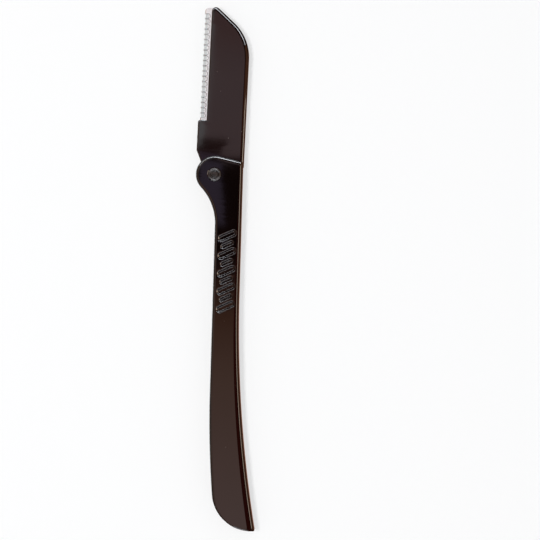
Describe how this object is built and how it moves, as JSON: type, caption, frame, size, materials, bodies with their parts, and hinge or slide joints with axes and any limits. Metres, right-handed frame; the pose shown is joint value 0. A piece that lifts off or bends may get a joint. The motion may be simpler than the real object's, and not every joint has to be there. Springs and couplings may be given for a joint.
{
  "type": "folding eyebrow razor",
  "caption": "Folding eyebrow razor: a guarded straight blade in a flat holder that folds into the open channel of a slim, slightly curved plastic handle.",
  "frame": {"origin": "middle of the part's footprint, open and lying on its back face, on the surface that it lies on", "axes": "+Y along the razor from the butt to the tip of the blade holder, -X towards the cutting edge and the open side of the handle's channel, +Z out of the front face"},
  "size_m": [0.0234, 0.159, 0.007],
  "materials": {
    "handle_plastic": "moulded, satin gloss",
    "holder_plastic": "moulded, satin gloss",
    "hinge_plastic": "moulded, gloss",
    "blade_steel": "stainless strip, ground edge",
    "guard_steel": "bright rolled foil"
  },
  "bodies": {
    "handle": {"handle_front": "handle_plastic", "handle_back": "handle_plastic", "hinge_sleeve": "hinge_plastic", "hinge_pin": "hinge_plastic"},
    "blade_holder": {"holder_front": "holder_plastic", "holder_back": "holder_plastic", "blade": "blade_steel", "blade_guard": "guard_steel"}
  },
  "joints": [
    {"name": "fold", "type": "hinge", "parent": "handle", "child": "blade_holder", "pos_m": [-0.00576, 0.02837, 0.0035], "axis": [0, 0, 1], "range_deg": [0, 180]}
  ]
}
